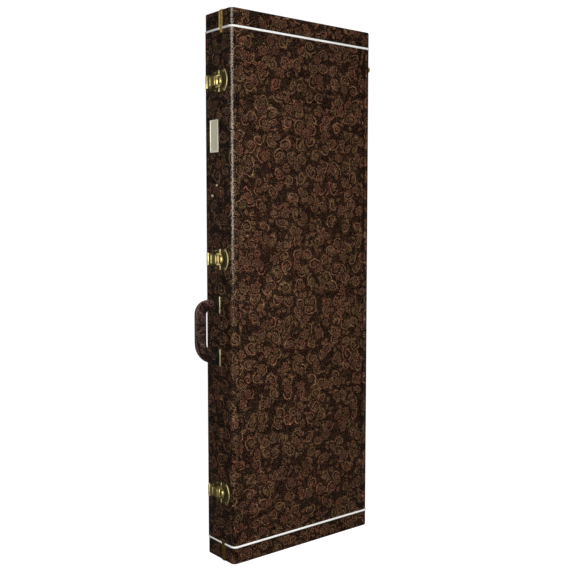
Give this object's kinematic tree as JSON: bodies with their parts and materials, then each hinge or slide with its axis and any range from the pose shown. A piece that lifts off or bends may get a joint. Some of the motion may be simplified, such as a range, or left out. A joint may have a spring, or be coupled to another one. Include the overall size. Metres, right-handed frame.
{
  "type": "guitar case",
  "caption": "Rectangular hard guitar case with embossed covering, draw latches, folding handle, hinged lid, fitted plush interior and a lidded accessory pocket.",
  "frame": {"origin": "middle of the outer face of the case's tail end, which it stands on", "axes": "+Z from the tail end to the head end, -Y out of the lid, -X out of the latch and handle side, +X out of the hinge side"},
  "size_m": [0.4214, 0.0944, 1.068],
  "materials": {
    "embossed_vinyl": "embossed dark brown",
    "grip_vinyl": "embossed dark brown",
    "cream_piping": "satin",
    "brass": "polished",
    "plywood": "raw birch",
    "plush": "short pile",
    "ribbon": "woven ribbon",
    "steel": "plain"
  },
  "bodies": {
    "base": {"base_back_board": "plywood", "base_latch_side_board": "plywood", "base_hinge_side_board": "plywood", "base_top_board": "plywood", "base_bottom_board": "plywood", "base_main_cover": "embossed_vinyl", "base_top_cover": "embossed_vinyl", "base_bottom_cover": "embossed_vinyl", "base_piping": "cream_piping", "base_end_trim": "brass", "base_wall_lining": "plush", "base_floor_pad": "plush", "latch_side_block": "plush", "hinge_side_block": "plush", "tail_corner_blocks": "plush", "neck_rest": "plush", "pocket_walls": "plush", "pocket_hinge_leaf": "brass", "pocket_hinge_pin": "brass", "latch_plates": "brass", "latch_plate_rivets": "brass", "latch_pivot_pins": "brass", "handle_brackets": "brass", "handle_bracket_rivets": "brass", "badge_plate": "brass", "badge_pins": "brass", "side_studs": "brass", "base_hinge_leaves": "brass", "hinge_pins": "brass", "base_hinge_rivets": "brass", "base_feet": "brass"},
    "lid": {"lid_face_board": "plywood", "lid_latch_side_board": "plywood", "lid_hinge_side_board": "plywood", "lid_top_board": "plywood", "lid_bottom_board": "plywood", "lid_main_cover": "embossed_vinyl", "lid_top_cover": "embossed_vinyl", "lid_bottom_cover": "embossed_vinyl", "lid_piping": "cream_piping", "lid_end_trim": "brass", "lid_wall_lining": "plush", "lid_pad": "plush", "lid_hinge_leaves": "brass", "lid_hinge_rivets": "brass", "lid_feet": "brass", "latch_keepers": "brass", "keeper_rivets": "brass"},
    "top_lever": {"lever_top": "brass"},
    "top_loop": {"loop_top": "brass"},
    "middle_lever": {"lever_middle": "brass"},
    "middle_loop": {"loop_middle": "brass"},
    "bottom_lever": {"lever_bottom": "brass"},
    "bottom_loop": {"loop_bottom": "brass"},
    "handle": {"handle_grip": "grip_vinyl", "handle_core": "steel", "handle_pins": "brass"},
    "pocket_lid": {"pocket_lid": "plush", "pocket_lid_leaf": "brass", "pocket_tab": "ribbon"}
  },
  "joints": [
    {"name": "lid_hinge", "type": "hinge", "parent": "base", "child": "lid", "pos_m": [0.184, -0.0095, 0.5335], "axis": [0, 0, 1], "range_deg": [0, 105]},
    {"name": "top_latch", "type": "hinge", "parent": "base", "child": "top_lever", "pos_m": [-0.187, -0.006, 0.935], "axis": [0, 0, 1], "range_deg": [0, 140]},
    {"name": "middle_latch", "type": "hinge", "parent": "base", "child": "middle_lever", "pos_m": [-0.187, -0.006, 0.5955], "axis": [0, 0, 1], "range_deg": [0, 140]},
    {"name": "bottom_latch", "type": "hinge", "parent": "base", "child": "bottom_lever", "pos_m": [-0.187, -0.006, 0.136], "axis": [0, 0, 1], "range_deg": [0, 140]},
    {"name": "top_loop_swing", "type": "hinge", "parent": "top_lever", "child": "top_loop", "pos_m": [-0.1842, 0.001, 0.935], "axis": [0, 0, 1], "range_deg": [-147.5, 0]},
    {"name": "middle_loop_swing", "type": "hinge", "parent": "middle_lever", "child": "middle_loop", "pos_m": [-0.1842, 0.001, 0.5955], "axis": [0, 0, 1], "range_deg": [-147.5, 0]},
    {"name": "bottom_loop_swing", "type": "hinge", "parent": "bottom_lever", "child": "bottom_loop", "pos_m": [-0.1842, 0.001, 0.136], "axis": [0, 0, 1], "range_deg": [-147.5, 0]},
    {"name": "handle_swing", "type": "hinge", "parent": "base", "child": "handle", "pos_m": [-0.1926, 0.0055, 0.455], "axis": [0, 0, 1], "range_deg": [-75, 75]},
    {"name": "pocket_lid_hinge", "type": "hinge", "parent": "base", "child": "pocket_lid", "pos_m": [0.1703, -0.0064, 0.691], "axis": [0, 0, 1], "range_deg": [0, 63.5]}
  ],
  "couplings": [
    {"joint": "top_loop_swing", "follows": "top_latch", "ratio": -1.05},
    {"joint": "middle_loop_swing", "follows": "middle_latch", "ratio": -1.05},
    {"joint": "bottom_loop_swing", "follows": "bottom_latch", "ratio": -1.05},
    {"joint": "pocket_lid_hinge", "follows": "lid_hinge", "ratio": 0.6}
  ]
}
